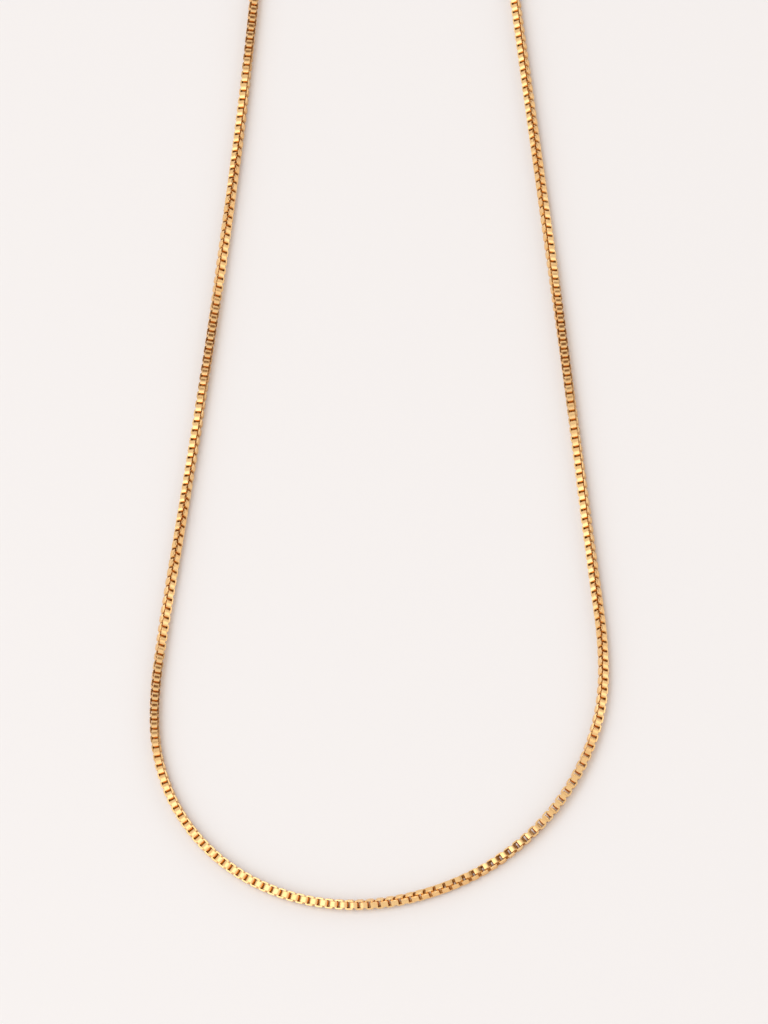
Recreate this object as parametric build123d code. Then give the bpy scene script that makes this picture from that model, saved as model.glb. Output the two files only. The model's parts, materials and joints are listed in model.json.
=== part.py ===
"""A fine box-chain necklace, laid out open on a table.

Lengths are in millimetres and angles in degrees.  The table is the XY plane, +Z is up, the front of the
necklace points to -Y, and the origin is under the middle of the laid-out necklace, on the table.
"""
from build123d import *
from math import asin, cos, degrees, radians, sin
import os

# The chain: folded strip links, each turned a quarter against the next.
LINK_WIDTH = 1.5        # outside width of a link, which is the width of the chain
LINK_PITCH = 0.8        # from one link's centre to the next
STRIP_THICK = 0.22      # thickness of the strip that a link is folded from
END_PLAY = 0.09         # free play between two links' end walls, along the chain
SIDE_PLAY = 0.09        # free play at each side of a link inside its neighbour
FOLD_RADIUS = 0.35      # outside radius of a link's folded corners
EASE_DEPTH = 0.25       # how deep the eased end edges of a link's hole go
EASE_FLARE = 0.10       # how much each eased edge lengthens the hole
LINKS_PER_RUN = 10      # links that stay in line between two free pivots
RUNS_PER_SIDE = 26      # runs of links on each side of the front run

STRIP_WIDTH = LINK_WIDTH - 2 * STRIP_THICK - 2 * SIDE_PLAY
LINK_LENGTH = LINK_PITCH + END_PLAY + 2 * STRIP_THICK
LINK_COUNT = LINKS_PER_RUN * (2 * RUNS_PER_SIDE + 1)

# How the chain lies, by the distance along it from the middle of the front, left side negative.
# Each stop gives that distance and the way the chain heads there, on the table, from +X towards +Y.
HEADING_STOPS = [
    (-212, -91), (-184, -94), (-150, -96), (-100, -97.5), (-78, -98), (-64, -96), (-54, -87),
    (-34, -54.5), (-14, -23), (0, -1), (16, 23), (36, 57), (56, 89.5), (66, 97), (90, 96.5),
    (130, 97), (180, 97), (212, 94),
]
# Each stop gives that distance and how far the chain has twisted about its own line.
TWIST_STOPS = [
    (-211, -90), (-180, -20), (-150, 25), (-122, 70), (-88, 116), (-58, 162), (-45, 182),
    (-26, 188), (-8, 202), (-1, 217), (12, 256), (30, 296), (42, 301), (56, 314), (76, 343),
    (107, 370), (146, 415), (179, 442), (211, 360),
]

# The rings that join the chain's ends to the clasp and to each other.
RING_PLAY = 0.04        # clearance each side of a ring's wire in the last link
CLASP_RING_RADIUS = 1.3  # to the middle of the wire
END_RING_RADIUS = 1.9   # to the middle of the wire
RING_WIRE = LINK_PITCH - STRIP_THICK - 2 * RING_PLAY

# The bolt ring clasp: a hollow ring with a mouth, closed by a sprung rod that slides inside it.
CLASP_RADIUS = 2.4      # to the middle of the tube
TUBE_RADIUS = 0.6
BORE_RADIUS = 0.38
ROD_PLAY = 0.05         # clearance around the rod in the bore
SPRING_PLAY = 0.06      # clearance around the spring in the bore
SPRING_WIRE = 0.12
MOUTH_START = 20        # the mouth's first edge, from the side away from the chain
MOUTH_ANGLE = 50        # how much of the ring is open
SOCKET_ANGLE = 10       # depth of the socket that takes the rod's tip
ROD_ENTRY = 6           # how far the rod's tip goes into that socket
BORE_END = -150         # the blind end of the bore, where the spring rests
ROD_TAIL = -10          # the rod's inner end, with the clasp closed
STUB_PLACE = 5          # the thumb stub, with the clasp closed
SLOT_PLAY = 3           # free angle at each end of the stub's slot
STUB_RADIUS = 0.18      # the neck of the thumb stub
STUB_PLAY = 0.05        # clearance each side of the neck in its slot
KNOB_RADIUS = 0.34
KNOB_HEIGHT = 0.45
KNOB_GAP = 0.06         # between the tube and the underside of the knob
KNOB_EDGE = 0.08        # rounding of the knob's edges
LUG_RADIUS = 0.6
LUG_THICK = 0.6
LUG_PLAY = 0.08         # clearance around the ring's wire in the lug's hole
LUG_SEAT = 0.02         # from the tube to the edge of the lug's hole

ROD_RADIUS = BORE_RADIUS - ROD_PLAY
LUG_HOLE = RING_WIRE / 2 + LUG_PLAY
LUG_REACH = CLASP_RADIUS + TUBE_RADIUS + LUG_SEAT + LUG_HOLE
ROD_TRAVEL = MOUTH_ANGLE + ROD_ENTRY
RING_SEAT = (LINK_LENGTH - LINK_PITCH - STRIP_THICK) / 2
CLASP_HEIGHT = max(TUBE_RADIUS, LUG_RADIUS)

UP = Vector(0, 0, 1)


def between(stops, distance):
    """The value at a distance, on straight lines between the stops, and level past the last ones."""
    if distance <= stops[0][0]:
        return stops[0][1]
    for (start, low), (end, high) in zip(stops, stops[1:]):
        if distance <= end:
            return low + (high - low) * (distance - start) / (end - start)
    return stops[-1][1]


def heading_at(distance):
    """Unit vector along the chain, towards its right end."""
    angle = radians(between(HEADING_STOPS, distance))
    return Vector(cos(angle), sin(angle), 0)


def rest_height(twist):
    """Height of the chain's middle when a chain twisted this much lies on the table."""
    along, across = abs(cos(radians(twist))), abs(sin(radians(twist)))
    broad, narrow = LINK_WIDTH / 2, STRIP_WIDTH / 2
    return max(broad * along + narrow * across, broad * across + narrow * along)


def chain_frames():
    """One plane per link, left end first: x along the chain, z through the link's hole."""
    middle = (LINK_COUNT - 1) / 2
    distances = [(index - middle) * LINK_PITCH for index in range(LINK_COUNT)]
    spots = [Vector(0, 0, 0)]
    for distance in distances[1:]:
        spots.append(spots[-1] + heading_at(distance - LINK_PITCH / 2) * LINK_PITCH)
    front = (spots[LINK_COUNT // 2 - 1] + spots[LINK_COUNT // 2]) / 2
    frames = []
    for index, (distance, spot) in enumerate(zip(distances, spots)):
        twist = between(TWIST_STOPS, distance)
        along = heading_at(distance)
        quarter = twist + 90 * (index % 2)
        hole = UP.rotate(Axis((0, 0, 0), along), quarter)
        centre = spot - front + UP * rest_height(twist)
        frames.append(Plane(origin=centre, x_dir=along, z_dir=hole))
    return frames


def link():
    """One folded link, its hole along Z and its length along X, the hole's end edges eased."""
    folded = RectangleRounded(LINK_LENGTH, LINK_WIDTH, FOLD_RADIUS)
    band = extrude(folded, STRIP_WIDTH / 2, both=True)
    waist = LINK_LENGTH / 2 - STRIP_THICK
    face = STRIP_WIDTH / 2
    corner = [(waist, face - EASE_DEPTH), (waist + EASE_FLARE, face)]
    profile = corner + [(-x, z) for x, z in reversed(corner)]
    profile += [(-x, -z) for x, z in corner] + [(x, -z) for x, z in reversed(corner)]
    hole = extrude(Plane.XZ * Polygon(*profile, align=None), LINK_WIDTH / 2 - STRIP_THICK, both=True)
    return band - hole


def run_names():
    """The names of the runs of links from the left end to the right end."""
    left = [f"left_links_{number:02d}" for number in range(RUNS_PER_SIDE, 0, -1)]
    right = [f"right_links_{number:02d}" for number in range(1, RUNS_PER_SIDE + 1)]
    return left + ["front_links"] + right


def chain_runs(frames):
    """Each run of links as its own node, every link a solid of its own."""
    pattern = link()
    runs = {}
    for number, name in enumerate(run_names()):
        places = frames[number * LINKS_PER_RUN:(number + 1) * LINKS_PER_RUN]
        runs[name] = Compound(children=[pattern.moved(place.location) for place in places])
    return runs


def round_wire(radius, wire):
    """A closed wire ring in the XY plane."""
    return Torus(radius, wire / 2)


def ring_plane(frame, outwards, radius, far_height):
    """Where a ring lies: through the last link's hole, its far side at the given height."""
    along = frame.x_dir * outwards
    hold = frame.origin + along * RING_SEAT
    drop = asin((hold.Z - far_height) / (2 * radius))
    slope = along * cos(drop) - UP * sin(drop)
    across = UP.cross(along)
    return Plane(origin=hold + slope * radius, x_dir=slope, z_dir=slope.cross(across))


def arc_tube(start, end, radius):
    """A round bar bent to the clasp's circle, from one angle to the other."""
    section = Plane.XZ * Pos(CLASP_RADIUS, 0) * Circle(radius)
    return Rot(0, 0, start) * revolve(section, Axis.Z, end - start)


def clasp_lug():
    """The upright eye on the clasp's tail, towards the chain."""
    disc = Cylinder(LUG_RADIUS, LUG_THICK, rotation=(90, 0, 0))
    return Pos(-LUG_REACH, 0, 0) * disc


def clasp_body():
    """The hollow ring with its mouth, bore, socket, slot and eye."""
    mouth_end = MOUTH_START + MOUTH_ANGLE
    body = arc_tube(mouth_end, 360 + MOUTH_START, TUBE_RADIUS) + clasp_lug()
    body -= arc_tube(BORE_END, MOUTH_START, BORE_RADIUS)
    body -= arc_tube(mouth_end, mouth_end + SOCKET_ANGLE, BORE_RADIUS)
    body -= Pos(-LUG_REACH, 0, 0) * Cylinder(LUG_HOLE, 2 * LUG_THICK, rotation=(90, 0, 0))
    return body - stub_slot()


def stub_slot():
    """The slot in the ring's outside that the thumb stub slides along."""
    neck_angle = degrees(STUB_RADIUS / (CLASP_RADIUS + TUBE_RADIUS))
    reach = neck_angle + SLOT_PLAY
    start = STUB_PLACE - ROD_TRAVEL - reach
    sweep_angle = ROD_TRAVEL + 2 * reach
    depth = 2 * TUBE_RADIUS
    width = 2 * (STUB_RADIUS + STUB_PLAY)
    section = Plane.XZ * Pos(CLASP_RADIUS + depth / 2, 0) * Rectangle(depth, width)
    return Rot(0, 0, start) * revolve(section, Axis.Z, sweep_angle)


def stub_neck():
    """The round neck that stands in the rod."""
    length = TUBE_RADIUS + KNOB_GAP
    neck = Cylinder(STUB_RADIUS, length, align=(Align.CENTER, Align.CENTER, Align.MIN))
    return Rot(0, 0, STUB_PLACE) * Pos(CLASP_RADIUS, 0, 0) * Rot(0, 90, 0) * neck


def clasp_rod():
    """The sliding rod that closes the mouth, drilled for the thumb stub."""
    tip = MOUTH_START + MOUTH_ANGLE + ROD_ENTRY
    return arc_tube(ROD_TAIL, tip, ROD_RADIUS) - stub_neck()


def thumb_stub():
    """The stub on the rod that a fingernail pulls."""
    knob = Cylinder(KNOB_RADIUS, KNOB_HEIGHT, align=(Align.CENTER, Align.CENTER, Align.MIN))
    knob = fillet(knob.edges(), KNOB_EDGE)
    seat = CLASP_RADIUS + TUBE_RADIUS + KNOB_GAP
    return stub_neck() + Rot(0, 0, STUB_PLACE) * Pos(seat, 0, 0) * Rot(0, 90, 0) * knob


def clasp_spring():
    """The space that the coiled spring fills behind the rod, hollow along its middle."""
    coil_radius = BORE_RADIUS - SPRING_PLAY
    outside = arc_tube(BORE_END, ROD_TAIL, coil_radius)
    return outside - arc_tube(BORE_END, ROD_TAIL, coil_radius - SPRING_WIRE)


def clasp_plane(frame):
    """The clasp's own plane: flat on the table, past its ring, with its eye on the ring."""
    ring = ring_plane(frame, -1, CLASP_RING_RADIUS, CLASP_HEIGHT)
    hold = ring.origin + ring.x_dir * CLASP_RING_RADIUS
    along = frame.x_dir * -1
    return Plane(origin=hold + along * LUG_REACH, x_dir=along, z_dir=UP)


def necklace():
    """Every node by name, before the origin is set."""
    frames = chain_frames()
    nodes = chain_runs(frames)
    clasp_ring = ring_plane(frames[0], -1, CLASP_RING_RADIUS, CLASP_HEIGHT)
    end_ring = ring_plane(frames[-1], 1, END_RING_RADIUS, RING_WIRE / 2)
    nodes["clasp_ring"] = clasp_ring.location * round_wire(CLASP_RING_RADIUS, RING_WIRE)
    nodes["end_ring"] = end_ring.location * round_wire(END_RING_RADIUS, RING_WIRE)
    place = clasp_plane(frames[0]).location
    nodes["clasp_body"] = place * clasp_body()
    nodes["clasp_rod"] = place * clasp_rod()
    nodes["thumb_stub"] = place * thumb_stub()
    nodes["clasp_spring"] = place * clasp_spring()
    return nodes


def table_centre(nodes):
    """The point on the table under the middle of everything."""
    boxes = [node.bounding_box() for node in nodes.values()]
    low_x, high_x = min(box.min.X for box in boxes), max(box.max.X for box in boxes)
    low_y, high_y = min(box.min.Y for box in boxes), max(box.max.Y for box in boxes)
    return Vector((low_x + high_x) / 2, (low_y + high_y) / 2, min(box.min.Z for box in boxes))


def main():
    """Write one STEP file for each node."""
    os.makedirs("parts", exist_ok=True)
    nodes = necklace()
    centre = table_centre(nodes)
    print(f"{LINK_COUNT} links, {LINK_COUNT * LINK_PITCH:.1f} mm of chain, centre {centre}")
    for name, shape in nodes.items():
        export_step(shape.moved(Location(-centre)), f"parts/{name}.step")


if __name__ == "__main__":
    main()
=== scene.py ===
# %% [markdown]
# # A fine box chain necklace in polished gold plate
# The necklace lies open on a pale table. Its chain is made of 530 small folded links, each turned a
# quarter against the next. The left end carries a bolt ring clasp on a small ring, and the right
# end carries a plain end ring. Everything is in metres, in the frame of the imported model, and +Z is
# up from the table.

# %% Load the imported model
import json
import math
import random

import bmesh
import bpy
import numpy as np
from mathutils import Matrix, Vector

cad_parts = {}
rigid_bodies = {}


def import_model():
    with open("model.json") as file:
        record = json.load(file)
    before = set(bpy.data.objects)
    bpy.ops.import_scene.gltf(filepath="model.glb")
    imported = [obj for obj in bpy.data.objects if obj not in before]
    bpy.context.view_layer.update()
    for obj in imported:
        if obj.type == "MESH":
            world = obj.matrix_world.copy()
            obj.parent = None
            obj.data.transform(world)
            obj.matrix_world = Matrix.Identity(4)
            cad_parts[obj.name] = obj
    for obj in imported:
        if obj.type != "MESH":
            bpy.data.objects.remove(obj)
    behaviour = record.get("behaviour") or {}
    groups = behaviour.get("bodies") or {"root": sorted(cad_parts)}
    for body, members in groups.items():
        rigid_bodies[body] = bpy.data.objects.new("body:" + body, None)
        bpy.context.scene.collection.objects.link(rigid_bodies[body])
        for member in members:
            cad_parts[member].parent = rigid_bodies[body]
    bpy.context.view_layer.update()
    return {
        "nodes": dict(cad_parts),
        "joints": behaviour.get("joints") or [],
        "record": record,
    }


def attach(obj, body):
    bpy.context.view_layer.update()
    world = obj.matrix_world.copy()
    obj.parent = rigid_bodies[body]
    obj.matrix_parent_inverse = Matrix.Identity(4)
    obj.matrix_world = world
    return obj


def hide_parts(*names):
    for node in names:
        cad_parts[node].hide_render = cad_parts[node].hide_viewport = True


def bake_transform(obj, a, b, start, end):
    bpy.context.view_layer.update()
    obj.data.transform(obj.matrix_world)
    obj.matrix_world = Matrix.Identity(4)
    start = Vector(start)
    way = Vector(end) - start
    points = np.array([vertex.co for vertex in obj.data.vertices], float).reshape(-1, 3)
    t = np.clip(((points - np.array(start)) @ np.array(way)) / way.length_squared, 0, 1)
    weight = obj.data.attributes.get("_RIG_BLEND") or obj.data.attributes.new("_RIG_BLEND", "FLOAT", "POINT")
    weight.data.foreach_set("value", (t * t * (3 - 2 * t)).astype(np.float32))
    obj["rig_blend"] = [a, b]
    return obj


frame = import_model()
MM = 0.001

# %% [markdown]
# ## The camera
# A small thing is looked at from far away through a long lens, so that it keeps its shape. The
# camera looks down steeply, a little from the front and from the right, and is rolled so that the
# necklace hangs upright in the view. The numbers could also be found by moving the camera by hand,
# but angles around a target are easier to read and to change.

# %% Set the camera
CAMERA_TARGET = Vector((0.00081, -0.03303, 0.0008))
CAMERA_AZIMUTH = 28.0
CAMERA_ELEVATION = 59.5
CAMERA_ROLL = -31.1
CAMERA_DISTANCE = 1.096
CAMERA_LENS = 246.0
SENSOR_WIDTH = 36.0
CLIP_START = 0.01


def towards(azimuth, elevation):
    """Unit vector from the necklace outwards: azimuth 0 is at the front, 90 at the right."""
    a, e = math.radians(azimuth), math.radians(elevation)
    return Vector((math.sin(a) * math.cos(e), -math.cos(a) * math.cos(e), math.sin(e)))


def aimed(direction, roll=0.0):
    """Rotation of a camera or lamp that looks back along a direction."""
    look = direction.to_track_quat("Z", "Y").to_matrix().to_4x4()
    return look @ Matrix.Rotation(math.radians(roll), 4, "Z")


camera = bpy.data.objects.new("camera", bpy.data.cameras.new("camera"))
bpy.context.scene.collection.objects.link(camera)
view_direction = towards(CAMERA_AZIMUTH, CAMERA_ELEVATION)
camera.matrix_world = (Matrix.Translation(CAMERA_TARGET + view_direction * CAMERA_DISTANCE)
                       @ aimed(view_direction, CAMERA_ROLL))
camera.data.lens = CAMERA_LENS
camera.data.sensor_width = SENSOR_WIDTH
camera.data.clip_start = CLIP_START
bpy.context.scene.camera = camera
bpy.context.scene.view_settings.view_transform = "Standard"
print("camera at", [round(x, 3) for x in camera.location])

# %% [markdown]
# ## The table and the light
# Polished metal shows what is round it, so the room draws the chain as much as the lamps do. The
# room is pale all round, and a broad soft lamp stands on the left. One dark brown card stands high
# behind on the right: the plates that mirror it turn dark, and their neighbours, turned a little
# further, stay bright. Jewellery needs such a card, because in a white room alone the gold washes
# out. The card is painted into the world's colour by direction, so it throws no shadow. The floor
# is plain and pale.

# %% Build the table and the lamps
FLOOR_SIZE = 3.0
# just under the chain, so that the two never share a plane
FLOOR_DROP = 0.00002
FLOOR_ROUGHNESS = 0.45
FLOOR_COLOUR = (0.88, 0.862, 0.862, 1.0)
ROOM_COLOUR = (0.90, 0.885, 0.872, 1.0)
CARD_COLOUR = (0.17, 0.075, 0.025, 1.0)
CARD_AZIMUTH, CARD_ELEVATION = 146.0, 52.0
# how far from its middle the card is fully dark, and where it has faded out, in degrees
CARD_INNER, CARD_OUTER = 14.0, 29.0
# each lamp: name, azimuth, elevation, distance, size, watts, colour
LAMPS = [
    ("window", -75.0, 55.0, 1.6, 1.8, 9.0, (1.0, 0.99, 0.975)),
    ("bounce", 95.0, 25.0, 1.6, 1.0, 2.0, (1.0, 0.92, 0.82)),
]


def deselect_all():
    """Leave nothing selected, because an operator acts on all that is."""
    for thing in bpy.context.view_layer.objects:
        thing.select_set(False)


def mix_colour(tree, factor, first, second):
    """Mix two colours, each a fixed colour or another node's output."""
    mix = tree.nodes.new("ShaderNodeMix")
    mix.data_type = "RGBA"
    tree.links.new(factor, mix.inputs["Factor"])
    for label, colour in (("A", first), ("B", second)):
        socket = [s for s in mix.inputs if s.name == label and s.type == "RGBA"][0]
        if isinstance(colour, tuple):
            socket.default_value = colour
        else:
            tree.links.new(colour, socket)
    return [s for s in mix.outputs if s.type == "RGBA"][0]


deselect_all()
bpy.ops.mesh.primitive_plane_add(size=FLOOR_SIZE, location=(0, 0, -FLOOR_DROP))
floor = bpy.context.object
floor.name = "floor"
floor_paint = bpy.data.materials.new("floor_paint")
floor_paint.use_nodes = True
floor_shader = floor_paint.node_tree.nodes["Principled BSDF"]
floor_shader.inputs["Base Color"].default_value = FLOOR_COLOUR
floor_shader.inputs["Roughness"].default_value = FLOOR_ROUGHNESS
floor.data.materials.append(floor_paint)

world = bpy.data.worlds.new("room")
world.use_nodes = True
room = world.node_tree
facing = room.nodes.new("ShaderNodeVectorMath")
facing.operation = "DOT_PRODUCT"
facing.inputs[1].default_value = towards(CARD_AZIMUTH, CARD_ELEVATION)
room.links.new(room.nodes.new("ShaderNodeTexCoord").outputs["Generated"], facing.inputs[0])
card = room.nodes.new("ShaderNodeMapRange")
card.interpolation_type = "SMOOTHSTEP"
card.inputs["From Min"].default_value = math.cos(math.radians(CARD_OUTER))
card.inputs["From Max"].default_value = math.cos(math.radians(CARD_INNER))
room.links.new(facing.outputs["Value"], card.inputs["Value"])
room.links.new(mix_colour(room, card.outputs["Result"], ROOM_COLOUR, CARD_COLOUR),
               room.nodes["Background"].inputs["Color"])
bpy.context.scene.world = world

for name, azimuth, elevation, distance, size, watts, colour in LAMPS:
    lamp_data = bpy.data.lights.new(name, "AREA")
    lamp_data.shape = "SQUARE"
    lamp_data.size = size
    lamp_data.energy = watts
    lamp_data.color = colour
    lamp = bpy.data.objects.new(name, lamp_data)
    bpy.context.scene.collection.objects.link(lamp)
    way = towards(azimuth, elevation)
    lamp.matrix_world = Matrix.Translation(CAMERA_TARGET + way * distance) @ aimed(way)
print("lamps", [lamp[0] for lamp in LAMPS])

# %% [markdown]
# ## Polished gold plate
# The plate is bright yellow gold over brass. It could be one metallic colour, but real plate
# varies: each link was polished on its own, the strip's inside keeps a rougher skin that the wheel
# never reached, and the open faces carry fine scratches. The inside is also given a darker gold,
# partly for that duller skin and partly as painted shade in the hollows of the links and the clasp.
# So the material mixes noise with two numbers stored on the mesh: how deep inside a link a face
# lies, and a shade for each link.

# %% Mix the gold
GOLD_BRIGHT = (0.97, 0.65, 0.31, 1.0)
GOLD_WARM = (0.90, 0.51, 0.19, 1.0)
# the inside's darker gold: partly a duller unpolished skin, partly painted shade in the hollows
GOLD_INSIDE_SKIN_AND_SHADE = (0.80, 0.43, 0.14, 1.0)
POLISH = 0.16
POLISH_SPREAD = 0.16
INSIDE_ROUGHNESS = 0.42
SCRATCH_SCALE, SCRATCH_DETAIL, SCRATCH_STRETCH = 2600.0, 4.0, (1.0, 0.15, 1.0)
SCRATCH_STRENGTH, SCRATCH_HEIGHT = 0.10, 0.00002
TONE_SCALE, TONE_DETAIL = 420.0, 3.0
# how far the noise may push a place from the bright gold (0) to the warm one (1)
TONE_LOW, TONE_HIGH = -0.25, 0.45
NOISE_ROUGHNESS = 0.6


def new_node(tree, kind, **sockets):
    """Add a node and set its inputs by name."""
    node = tree.nodes.new(kind)
    for label, value in sockets.items():
        node.inputs[label.replace("_", " ")].default_value = value
    return node


def mapped_noise(tree, scale, detail, stretch=(1, 1, 1)):
    """Noise on the piece's own coordinates, stretched along an axis if asked."""
    place = tree.nodes.new("ShaderNodeTexCoord")
    turn = tree.nodes.new("ShaderNodeMapping")
    turn.inputs["Scale"].default_value = stretch
    noise = new_node(tree, "ShaderNodeTexNoise", Scale=scale, Detail=detail,
                     Roughness=NOISE_ROUGHNESS)
    tree.links.new(place.outputs["Object"], turn.inputs["Vector"])
    tree.links.new(turn.outputs["Vector"], noise.inputs["Vector"])
    return noise


def ranged(tree, value, low, high):
    """Spread a 0 to 1 value between two numbers."""
    spread = new_node(tree, "ShaderNodeMapRange")
    spread.inputs["To Min"].default_value = low
    spread.inputs["To Max"].default_value = high
    tree.links.new(value, spread.inputs["Value"])
    return spread.outputs["Result"]


def summed(tree, first, second):
    """Add two values and keep the result in 0 to 1."""
    add = tree.nodes.new("ShaderNodeMath")
    add.operation = "ADD"
    add.use_clamp = True
    tree.links.new(first, add.inputs[0])
    tree.links.new(second, add.inputs[1])
    return add.outputs[0]


def gold_material(name, bright, warm, inside, polish):
    """Plate with uneven tone, worn polish and fine scratches."""
    gold = bpy.data.materials.new(name)
    gold.use_nodes = True
    tree = gold.node_tree
    shader = tree.nodes["Principled BSDF"]
    shader.inputs["Metallic"].default_value = 1.0
    tone = mapped_noise(tree, TONE_SCALE, TONE_DETAIL)
    shade = tree.nodes.new("ShaderNodeAttribute")
    shade.attribute_name = "shade"
    depth = tree.nodes.new("ShaderNodeAttribute")
    depth.attribute_name = "depth"
    scratches = mapped_noise(tree, SCRATCH_SCALE, SCRATCH_DETAIL, SCRATCH_STRETCH)
    patches = ranged(tree, tone.outputs["Fac"], TONE_LOW, TONE_HIGH)
    uneven = summed(tree, patches, shade.outputs["Fac"])
    outside = mix_colour(tree, uneven, bright, warm)
    # inside faces take the darker gold, which is duller skin and painted shade in one
    colour = mix_colour(tree, depth.outputs["Fac"], outside, inside)
    tree.links.new(colour, shader.inputs["Base Color"])
    worn = ranged(tree, scratches.outputs["Fac"], polish, polish + POLISH_SPREAD)
    unpolished = ranged(tree, depth.outputs["Fac"], 0.0, INSIDE_ROUGHNESS - polish)
    rough = summed(tree, worn, unpolished)
    tree.links.new(rough, shader.inputs["Roughness"])
    bump = new_node(tree, "ShaderNodeBump", Strength=SCRATCH_STRENGTH, Distance=SCRATCH_HEIGHT)
    tree.links.new(scratches.outputs["Fac"], bump.inputs["Height"])
    tree.links.new(bump.outputs["Normal"], shader.inputs["Normal"])
    return gold


gold_plate = gold_material("gold_plate", GOLD_BRIGHT, GOLD_WARM, GOLD_INSIDE_SKIN_AND_SHADE, POLISH)
print("materials", gold_plate.name)

# %% [markdown]
# ## Drawn spring wire
# The clasp's spring is bare steel, which is grey and slightly dull from the drawing die. It could
# share the gold's nodes with other colours, but it has no polish to wear off, so a faint noise in
# its tone and roughness is enough.

# %% Mix the spring steel
STEEL_LIGHT = (0.62, 0.62, 0.63, 1.0)
STEEL_DARK = (0.40, 0.40, 0.42, 1.0)
STEEL_NOISE_SCALE, STEEL_NOISE_DETAIL = 3000.0, 3.0
STEEL_SMOOTHEST, STEEL_ROUGHEST = 0.28, 0.45

spring_steel = bpy.data.materials.new("spring_steel")
spring_steel.use_nodes = True
steel_tree = spring_steel.node_tree
steel_shader = steel_tree.nodes["Principled BSDF"]
steel_shader.inputs["Metallic"].default_value = 1.0
drawn = mapped_noise(steel_tree, STEEL_NOISE_SCALE, STEEL_NOISE_DETAIL)
grey = mix_colour(steel_tree, drawn.outputs["Fac"], STEEL_LIGHT, STEEL_DARK)
dull = ranged(steel_tree, drawn.outputs["Fac"], STEEL_SMOOTHEST, STEEL_ROUGHEST)
steel_tree.links.new(grey, steel_shader.inputs["Base Color"])
steel_tree.links.new(dull, steel_shader.inputs["Roughness"])
print("materials", spring_steel.name)

# %% [markdown]
# ## One link
# A box chain link is a short band of flat strip, folded square and closed. It could be a bevelled
# curve, but a block that is rounded, inset and bridged gives clean faces and stays small, which
# matters because the chain repeats it 530 times. It is modelled in millimetres, where the
# operators' tolerances suit it, and is scaled when it is copied.

# %% Helpers for modelling by hand
# a face points along an axis when that part of its normal is over this
FACING = 0.9


def operate(thing):
    """Select one object alone and make it active."""
    deselect_all()
    thing.select_set(True)
    bpy.context.view_layer.objects.active = thing


def start_editing(thing):
    """Open one object for editing, with nothing selected in it."""
    operate(thing)
    bpy.ops.object.mode_set(mode="EDIT")
    bpy.ops.mesh.select_all(action="DESELECT")


def stop_editing():
    """Close the edited object."""
    bpy.ops.object.mode_set(mode="OBJECT")


def pick_faces(thing, test):
    """Select the faces whose middle and normal pass a test."""
    bpy.ops.mesh.select_mode(type="FACE")
    mesh = bmesh.from_edit_mesh(thing.data)
    for face in mesh.faces:
        face.select_set(bool(test(face.calc_center_median(), face.normal)))
    mesh.select_flush_mode()
    bmesh.update_edit_mesh(thing.data)


def pick_edges(thing, test):
    """Select the edges whose two ends pass a test."""
    bpy.ops.mesh.select_mode(type="EDGE")
    mesh = bmesh.from_edit_mesh(thing.data)
    for edge in mesh.edges:
        edge.select_set(bool(test(edge.verts[0].co, edge.verts[1].co)))
    mesh.select_flush_mode()
    bmesh.update_edit_mesh(thing.data)


def smooth(thing, angle):
    """Smooth shading that keeps folds sharper than an angle."""
    operate(thing)
    bpy.ops.object.shade_smooth_by_angle(angle=math.radians(angle))


def mark_depth(thing, is_inside=lambda middle, normal: False):
    """Store on each face whether the polishing wheel reaches it (0) or not (1); there the gold is rougher,
    and darker as duller skin and painted shade.
    """
    values = [float(is_inside(face.center, face.normal)) for face in thing.data.polygons]
    layer = thing.data.attributes.new("depth", "FLOAT", "FACE")
    layer.data.foreach_set("value", values)
    return sum(values)


print("ready to model; an axis-facing face has a normal over", FACING)

# %% Model the link
LINK_LENGTH = 1.33
LINK_WIDTH = 1.5
STRIP_WIDTH = 0.88
STRIP_THICK = 0.22
FOLD_RADIUS, FOLD_SEGMENTS = 0.35, 2
RIM_EASE = 0.05
LINK_SMOOTH = 40
CLOSE = 0.001
# a rim edge reaches this share of the link's side, or of the line between its two folds
SIDE_SHARE, FOLD_SHARE = 0.98, 0.82
# an inside face looks back at the hole's middle by more than this
LOOKS_BACK = -0.05


def crosses(a, b):
    """Whether an edge runs the strip's whole width."""
    return abs(a.z - b.z) > STRIP_WIDTH / 2


def outer_rim(a, b):
    """Whether an edge lies on the outer outline of an open face."""
    level = abs(a.z - b.z) < CLOSE and abs(abs(a.z) - STRIP_WIDTH / 2) < CLOSE
    middle = (a + b) / 2
    reach = max(abs(middle.x) / LINK_LENGTH, abs(middle.y) / LINK_WIDTH) * 2
    diagonal = abs(middle.x) / LINK_LENGTH + abs(middle.y) / LINK_WIDTH
    return level and (reach > SIDE_SHARE or diagonal > FOLD_SHARE)


def faces_hole(middle, normal):
    """Whether a face of the link lies inside its hole."""
    return middle.to_2d().dot(normal.to_2d()) < LOOKS_BACK


deselect_all()
bpy.ops.mesh.primitive_cube_add(size=1, scale=(LINK_LENGTH, LINK_WIDTH, STRIP_WIDTH))
link = bpy.context.object
link.name = "link_pattern"
bpy.ops.object.transform_apply(location=False, rotation=False, scale=True)
start_editing(link)
pick_edges(link, crosses)
bpy.ops.mesh.bevel(offset=FOLD_RADIUS, segments=FOLD_SEGMENTS, affect="EDGES")
pick_faces(link, lambda middle, normal: abs(normal.z) > FACING)
bpy.ops.mesh.inset(thickness=STRIP_THICK)
bpy.ops.mesh.bridge_edge_loops()
pick_edges(link, outer_rim)
bpy.ops.mesh.bevel(offset=RIM_EASE, segments=1, affect="EDGES")
stop_editing()
smooth(link, LINK_SMOOTH)
# the hole's faces get the darker gold: partly duller skin, partly painted shade in the hole
inside = mark_depth(link, faces_hole)
print("link", len(link.data.polygons), "faces,", inside, "of them inside")

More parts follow.
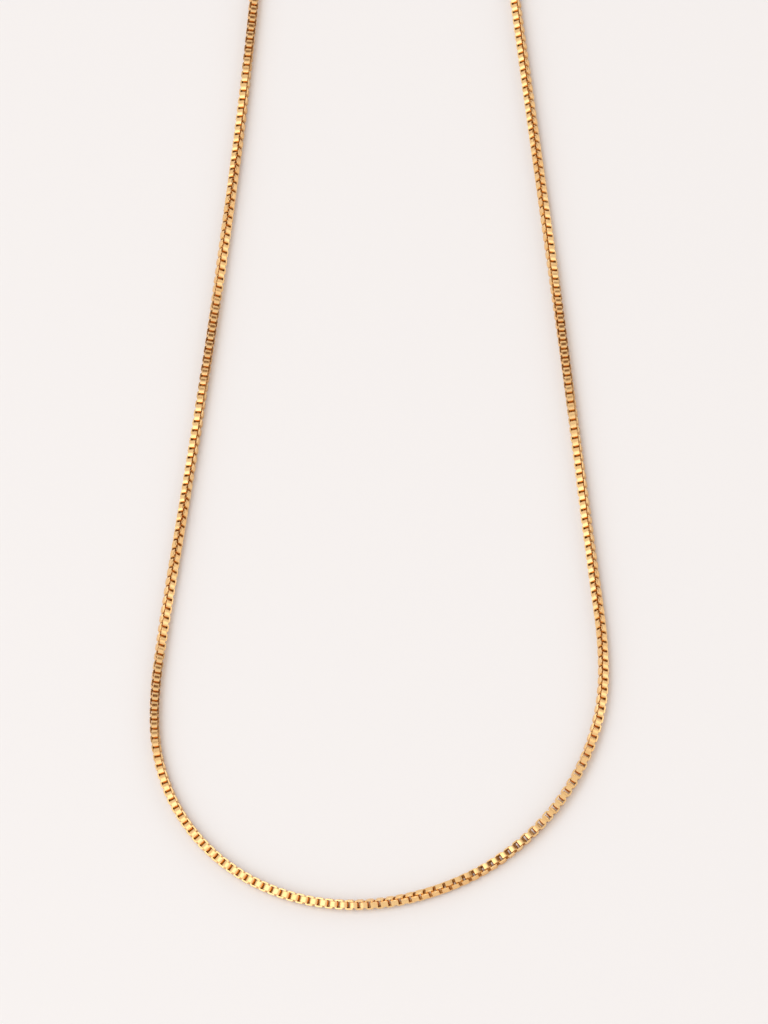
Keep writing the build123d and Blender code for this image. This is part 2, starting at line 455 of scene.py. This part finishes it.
# %% [markdown]
# ## The chain
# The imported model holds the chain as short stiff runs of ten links, each on a body of its own, so
# that the necklace can be posed. Each packed link is found again in its run: its middle, the way
# its hole points, and the way the chain goes. The refined link is then copied onto it, so every
# copy sits where the design says. An array along a curve would be quicker to set up, but it would
# know nothing of the bodies.

# %% Find the links in a run
SAME_CORNER = 1e-6


def islands(node):
    """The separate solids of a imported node, each as arrays of triangle areas and middles."""
    mesh = bmesh.new()
    mesh.from_mesh(node.data)
    bmesh.ops.remove_doubles(mesh, verts=mesh.verts, dist=SAME_CORNER)
    found, seen = [], set()
    for first in mesh.faces:
        if first in seen:
            continue
        group, waiting = [], [first]
        seen.add(first)
        while waiting:
            face = waiting.pop()
            group.append(face)
            for edge in face.edges:
                for other in edge.link_faces:
                    if other not in seen:
                        seen.add(other)
                        waiting.append(other)
        areas = np.array([face.calc_area() for face in group])
        middles = np.array([face.calc_center_median() for face in group])
        found.append((areas, middles))
    mesh.free()
    return found


def middle_and_axes(solid):
    """A solid's middle, and its axes from the least spread to the widest."""
    areas, middles = solid
    middle = (areas[:, None] * middles).sum(0) / areas.sum()
    offset = middles - middle
    spread = (areas[:, None, None] * offset[:, :, None] * offset[:, None, :]).sum(0)
    return Vector(middle), [Vector(axis) for axis in np.linalg.eigh(spread)[1].T]


def place_of(x, z, middle):
    """The matrix that carries a flat millimetre model to its place, given its x and z there."""
    turned = Matrix((x, z.cross(x), z)).transposed().to_4x4()
    return Matrix.Translation(middle) @ turned @ Matrix.Scale(MM, 4)


def link_places(node):
    """Where each link of a run lies: x along the chain and z through the hole."""
    measured = [middle_and_axes(solid) for solid in islands(node)]
    run_way = max((a[0] - b[0] for a in measured for b in measured), key=lambda way: way.length)
    measured.sort(key=lambda pair: pair[0].dot(run_way))
    last = len(measured) - 1
    places = []
    for number, (middle, axes) in enumerate(measured):
        chain_way = measured[min(number + 1, last)][0] - measured[max(number - 1, 0)][0]
        z = axes[0]
        x = (chain_way - z * z.dot(chain_way)).normalized()
        places.append(place_of(x, z, middle))
    return places


runs = [name for name in frame["nodes"] if "_links" in name]
print(len(runs), "runs of", len(link_places(frame["nodes"]["front_links"])), "links")

# %% Copy the link along every run
random.seed(7)
SHADE_LOW, SHADE_HIGH = 0.0, 0.35
bodies = frame["record"]["behaviour"]["bodies"]
body_of = {node: body for body, nodes in bodies.items() for node in nodes}


def copied(name, pattern, places, shades):
    """One piece with a copy of the pattern at each place, each copy with a shade of its own."""
    mesh = bmesh.new()
    mesh.faces.layers.float.new("shade")
    for place, shade in zip(places, shades):
        had_verts, had_faces = len(mesh.verts), len(mesh.faces)
        mesh.from_mesh(pattern.data)
        mesh.verts.ensure_lookup_table()
        mesh.faces.ensure_lookup_table()
        bmesh.ops.transform(mesh, matrix=place, verts=mesh.verts[had_verts:])
        shade_layer = mesh.faces.layers.float["shade"]
        for face in mesh.faces[had_faces:]:
            face[shade_layer] = shade
    data = bpy.data.meshes.new(name)
    mesh.to_mesh(data)
    mesh.free()
    piece = bpy.data.objects.new(name, data)
    bpy.context.scene.collection.objects.link(piece)
    return piece


def settle(piece, node, material):
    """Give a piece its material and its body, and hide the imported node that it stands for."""
    piece.data.materials.clear()
    piece.data.materials.append(material)
    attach(piece, body_of[node])
    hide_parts(node)


count = 0
for node in runs:
    places = link_places(frame["nodes"][node])
    shades = [random.uniform(SHADE_LOW, SHADE_HIGH) for _ in places]
    piece = copied("chain_" + node, link, places, shades)
    settle(piece, node, gold_plate)
    count += len(places)
bpy.data.objects.remove(link)
print("links copied", count)

# %% [markdown]
# ## Where the findings lie
# Jewellers call the clasp and the rings of a necklace its findings. Each one is modelled flat at
# the origin, in millimetres, and is then carried to its place by one matrix, because flat shapes
# are easier to select and to cut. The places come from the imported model: a ring's from its own
# mesh, and the clasp's from its two joints.

# %% Carry a finished piece to its place
CLASP_RADIUS = 2.4
TUBE_RADIUS = 0.6


def joint_place(name):
    """Where a joint's axis passes."""
    return Vector(next(joint["pos_m"] for joint in frame["joints"] if joint["name"] == name))


def flatten_transform(thing):
    """Put an object's own turn, size and place into its mesh."""
    operate(thing)
    bpy.ops.object.transform_apply(location=True, rotation=True, scale=True)


def apply_modifier(thing, modifier):
    """Make a modifier's result the mesh."""
    operate(thing)
    bpy.ops.object.modifier_apply(modifier=modifier.name)


clasp_middle = joint_place("clasp_open")
clasp_x = (clasp_middle - joint_place("clasp_swing")).normalized()
clasp_place = place_of(clasp_x, Vector((0, 0, 1)), clasp_middle)
print("clasp at", [round(v / MM, 2) for v in clasp_middle], "mm")

# %% [markdown]
# ## The two wire rings
# A small ring joins the clasp to the last link, and a larger one at the other end is what the clasp
# hooks. Each is a length of round wire that was bent, closed and soldered, so its joint shows as a
# low bead. The torus primitive gives the wire, and the bead is two loops of its faces pushed
# outwards a little.

# %% Model a soldered ring
RING_WIRE_RADIUS = 0.25
RING_STEPS, WIRE_STEPS = 72, 20
RING_SMOOTH = 60
# each ring: its node, the radius of its wire's line, and the angle of its solder bead
RINGS = [("clasp_ring", 1.3, 90.0), ("end_ring", 1.9, -60.0)]
BEAD_HEIGHT = 0.022
# the bead's two loops: half the width of each in degrees, and its share of the height
BEAD_LOOPS = [(8.8, 0.3), (4.0, 0.7)]


def turn_about_z(point):
    """The angle of a point round the Z axis, in degrees."""
    return math.degrees(math.atan2(point.y, point.x))


def soldered_ring(name, radius, seam):
    """A closed wire ring with its solder bead at an angle."""
    deselect_all()
    wire_radius = RING_WIRE_RADIUS - BEAD_HEIGHT / 2
    bpy.ops.mesh.primitive_torus_add(major_radius=radius, minor_radius=wire_radius,
                                     major_segments=RING_STEPS, minor_segments=WIRE_STEPS)
    ring = bpy.context.object
    ring.name = name
    start_editing(ring)
    for reach, share in BEAD_LOOPS:
        pick_faces(ring, lambda middle, normal: abs(turn_about_z(middle) - seam) < reach)
        bpy.ops.transform.shrink_fatten(value=BEAD_HEIGHT * share)
    stop_editing()
    smooth(ring, RING_SMOOTH)
    mark_depth(ring)
    return ring


for node, radius, seam in RINGS:
    middle, axes = middle_and_axes(islands(frame["nodes"][node])[0])
    ring = soldered_ring("soldered_" + node, radius, seam)
    ring.data.transform(place_of(axes[2], axes[0], middle))
    settle(ring, node, gold_plate)
    print(ring.name, len(ring.data.polygons), "faces")

# %% [markdown]
# ## The bolt ring
# The clasp is a hollow ring with a gap, its mouth. A curved rod slides out of one side of the gap
# and into the other, and a small stub on the rod lets a fingernail draw it back. The body begins as
# a circle that is spun along the ring. The bore, the socket, the slot and the eye's hole are then
# cut by solids made the same way, so that everything shares one centre. Cutting with Booleans
# leaves long thin faces, which matter little here, because the walls are plain and the edges get
# their own small bevel.

# %% Spin a bent bar
SPIN_STEP = 4.0
BAR_SIDES = 28
MERGE_DISTANCE = 0.0005
ALONG_X, ALONG_Y = (0, math.pi / 2, 0), (math.pi / 2, 0, 0)


def close_mesh():
    """Merge the open mesh's doubles and turn its faces outwards."""
    bpy.ops.mesh.select_all(action="SELECT")
    bpy.ops.mesh.remove_doubles(threshold=MERGE_DISTANCE)
    bpy.ops.mesh.normals_make_consistent(inside=False)


def sweep(thing, start, end):
    """Spin a flat section round the clasp's centre, from one angle to another, into a solid."""
    flatten_transform(thing)
    start_editing(thing)
    bpy.ops.mesh.select_all(action="SELECT")
    steps = max(2, round((end - start) / SPIN_STEP))
    # spin turns clockwise as seen from above, so the angle is negative
    bpy.ops.mesh.spin(steps=steps, angle=math.radians(start - end),
                      center=(0, 0, 0), axis=(0, 0, 1))
    close_mesh()
    stop_editing()
    thing.data.transform(Matrix.Rotation(math.radians(start), 4, "Z"))
    return thing


def bent_bar(name, start, end, section_radius):
    """A round bar bent along the clasp's circle between two angles, closed at both ends."""
    deselect_all()
    bpy.ops.mesh.primitive_circle_add(vertices=BAR_SIDES, radius=section_radius, fill_type="NGON",
                                      location=(CLASP_RADIUS, 0, 0), rotation=ALONG_Y)
    bar = bpy.context.object
    bar.name = name
    return sweep(bar, start, end)


def combine(thing, other, operation):
    """Join or cut one solid with another, and remove the other."""
    boolean = thing.modifiers.new("combine", "BOOLEAN")
    boolean.operation = operation
    boolean.solver = "EXACT"
    boolean.object = other
    apply_modifier(thing, boolean)
    bpy.data.objects.remove(other)


print("bars have", BAR_SIDES, "sides and bend in steps of", SPIN_STEP, "degrees")

# %% Cut the clasp's body
BORE_RADIUS = 0.38
MOUTH_START, MOUTH_END = 20.0, 70.0
BORE_END = -150.0
SOCKET_ANGLE = 10.0
LUG_RADIUS, LUG_THICK, LUG_HOLE, LUG_REACH = 0.6, 0.6, 0.33, 3.35
SLOT_START, SLOT_END, SLOT_WIDTH = -57.4, 11.4, 0.46
OVERSHOOT = 2.0
EDGE_BEVEL, EDGE_SEGMENTS, EDGE_ANGLE = 0.035, 2, 50
CLASP_SMOOTH = 35
EYE_SIDES = 32
# a bore's face lies within this share of the tube's radius, looks at its line, and isn't on the eye
WALL_SHARE = 0.93
LOOKS_IN = 0.05
EYE_EDGE = 0.3 - CLASP_RADIUS


def drum(name, radius, length, middle, turn, sides):
    """A short straight round bar."""
    deselect_all()
    bpy.ops.mesh.primitive_cylinder_add(vertices=sides, radius=radius, depth=length,
                                        location=middle, rotation=turn)
    thing = bpy.context.object
    thing.name = name
    flatten_transform(thing)
    return thing


def slot_cutter(start, end, width):
    """A bent block of oblong section, which cuts the slot through the tube's outer wall."""
    deselect_all()
    bpy.ops.mesh.primitive_plane_add(size=1, location=(CLASP_RADIUS + TUBE_RADIUS, 0, 0),
                                     rotation=ALONG_Y)
    band = bpy.context.object
    band.scale = (2 * TUBE_RADIUS, width, 1)
    return sweep(band, start, end)


def in_bore(middle, normal):
    """Whether a face of the flat clasp belongs to the bore, the socket or the slot's walls."""
    ring_way = Vector((middle.x, middle.y, 0)).normalized()
    off_line = middle - ring_way * CLASP_RADIUS
    within = off_line.length < TUBE_RADIUS * WALL_SHARE and off_line.dot(normal) < LOOKS_IN
    return within and middle.x > EYE_EDGE


eye_middle = (-LUG_REACH, 0, 0)
body = bent_bar("bolt_ring", MOUTH_END, MOUTH_START + 360, TUBE_RADIUS)
eye = drum("eye", LUG_RADIUS, LUG_THICK, eye_middle, ALONG_Y, EYE_SIDES)
combine(body, eye, "UNION")
bore = bent_bar("bore", BORE_END, MOUTH_START + OVERSHOOT, BORE_RADIUS)
combine(body, bore, "DIFFERENCE")
socket = bent_bar("socket", MOUTH_END - OVERSHOOT, MOUTH_END + SOCKET_ANGLE, BORE_RADIUS)
combine(body, socket, "DIFFERENCE")
eye_hole = drum("eye_hole", LUG_HOLE, 2 * LUG_THICK, eye_middle, ALONG_Y, EYE_SIDES)
combine(body, eye_hole, "DIFFERENCE")
combine(body, slot_cutter(SLOT_START, SLOT_END, SLOT_WIDTH), "DIFFERENCE")
edges = body.modifiers.new("edges", "BEVEL")
edges.width, edges.segments = EDGE_BEVEL, EDGE_SEGMENTS
edges.limit_method, edges.angle_limit = "ANGLE", math.radians(EDGE_ANGLE)
apply_modifier(body, edges)
smooth(body, CLASP_SMOOTH)
# the bore, socket and slot walls get the darker gold: partly duller skin, partly painted shade
mark_depth(body, in_bore)
body.data.transform(clasp_place)
settle(body, "clasp_body", gold_plate)
print(body.name, len(body.data.polygons), "faces")

# %% [markdown]
# ## The rod, its stub and its spring
# The rod is a thinner bent bar with rounded ends. The stub is a small eased knob, dimpled on top,
# and its neck is set into a hole in the rod. Behind the rod lies a coiled spring of hard steel
# wire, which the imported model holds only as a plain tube. A curve through the points of a bent
# helix makes the coils. When the rod slides back, the spring bends between the two bodies: its
# blind end stays with the clasp, and its other end follows the rod.

# %% Model the rod and the stub
ROD_RADIUS = 0.33
ROD_TAIL, ROD_TIP = -10.0, 76.0
END_SPREAD = 0.5
TIP_ROUND = 0.14
ROUND_SEGMENTS = 3
STUB_ANGLE = 5.0
STUB_RADIUS, KNOB_RADIUS, KNOB_HEIGHT, KNOB_GAP = 0.18, 0.34, 0.45, 0.06
KNOB_SIDES = 24
KNOB_EDGE = 0.08
KNOB_DIMPLE, DIMPLE_RIM = 0.05, 0.09


def rod_ends(a, b):
    """Whether an edge lies round one of the rod's two ends."""
    turns = (turn_about_z(a), turn_about_z(b))
    return any(all(abs(turn - end) < END_SPREAD for turn in turns) for end in (ROD_TAIL, ROD_TIP))


def knob_rim(a, b):
    """Whether an edge runs round the knob's outside."""
    return min(a.yz.length, b.yz.length) > KNOB_RADIUS - CLOSE and abs(a.x - b.x) < CLOSE


def knob_top(middle, normal):
    """Whether a face is the knob's outer end."""
    return normal.x > FACING and middle.yz.length < CLOSE


rod = bent_bar("bolt", ROD_TAIL, ROD_TIP, ROD_RADIUS)
start_editing(rod)
pick_edges(rod, rod_ends)
bpy.ops.mesh.bevel(offset=TIP_ROUND, segments=ROUND_SEGMENTS, affect="EDGES")
stop_editing()
stub_turn = Matrix.Rotation(math.radians(STUB_ANGLE), 4, "Z")
neck_length = TUBE_RADIUS + KNOB_GAP
neck_middle = (CLASP_RADIUS + neck_length / 2, 0, 0)
neck = drum("neck", STUB_RADIUS, neck_length, neck_middle, ALONG_X, KNOB_SIDES)
neck.data.transform(stub_turn)
combine(rod, neck, "DIFFERENCE")
smooth(rod, CLASP_SMOOTH)
mark_depth(rod)
rod.data.transform(clasp_place)
settle(rod, "clasp_rod", gold_plate)

knob_middle = (CLASP_RADIUS + neck_length + KNOB_HEIGHT / 2, 0, 0)
stub = drum("thumb_knob", KNOB_RADIUS, KNOB_HEIGHT, knob_middle, ALONG_X, KNOB_SIDES)
start_editing(stub)
pick_faces(stub, lambda middle, normal: normal.x < -FACING)
bpy.ops.mesh.inset(thickness=KNOB_RADIUS - STUB_RADIUS)
bpy.ops.mesh.extrude_region_move(TRANSFORM_OT_translate={"value": (-neck_length, 0, 0)})
pick_edges(stub, knob_rim)
bpy.ops.mesh.bevel(offset=KNOB_EDGE, segments=ROUND_SEGMENTS, affect="EDGES")
pick_faces(stub, knob_top)
bpy.ops.mesh.inset(thickness=DIMPLE_RIM, depth=-KNOB_DIMPLE)
stop_editing()
smooth(stub, CLASP_SMOOTH)
mark_depth(stub)
stub.data.transform(clasp_place @ stub_turn)
settle(stub, "thumb_stub", gold_plate)
print(rod.name, len(rod.data.polygons), "faces,", stub.name, len(stub.data.polygons), "faces")

# %% Wind the spring
SPRING_RADIUS, SPRING_WIRE_RADIUS = 0.26, 0.06
SPRING_TURNS, POINTS_PER_TURN = 10, 14
SPRING_SMOOTH = 50


def on_clasp_circle(angle, outwards=0.0, up=0.0):
    """A point beside the clasp's circle, in the flat clasp's millimetres."""
    way = Vector((math.cos(math.radians(angle)), math.sin(math.radians(angle)), 0))
    return way * (CLASP_RADIUS + outwards) + Vector((0, 0, up))


spring_curve = bpy.data.curves.new("return_spring", "CURVE")
spring_curve.dimensions = "3D"
coil = spring_curve.splines.new("POLY")
steps_along = SPRING_TURNS * POINTS_PER_TURN
coil.points.add(steps_along)
# half the wire's thickness, as an angle, so that the end coils stay within the spring's room
wire_angle = math.degrees(SPRING_WIRE_RADIUS / CLASP_RADIUS)
for number, point in enumerate(coil.points):
    phase = 2 * math.pi * number / POINTS_PER_TURN
    part = number / steps_along
    angle = BORE_END + wire_angle + part * (ROD_TAIL - BORE_END - 2 * wire_angle)
    outwards, up = SPRING_RADIUS * math.cos(phase), SPRING_RADIUS * math.sin(phase)
    point.co = (*on_clasp_circle(angle, outwards, up), 1)
spring_curve.bevel_depth = SPRING_WIRE_RADIUS
spring_curve.bevel_resolution = 2
spring_curve.use_fill_caps = True
spring = bpy.data.objects.new("return_spring", spring_curve)
bpy.context.scene.collection.objects.link(spring)
operate(spring)
bpy.ops.object.convert(target="MESH")
spring = bpy.context.object
start_editing(spring)
close_mesh()
stop_editing()
smooth(spring, SPRING_SMOOTH)
spring.data.transform(clasp_place)
spring.data.materials.clear()
spring.data.materials.append(spring_steel)
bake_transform(spring, "clasp", "clasp_slide", start=clasp_place @ on_clasp_circle(BORE_END),
         end=clasp_place @ on_clasp_circle(ROD_TAIL))
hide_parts("clasp_spring")
print(spring.name, len(spring.data.polygons), "faces")
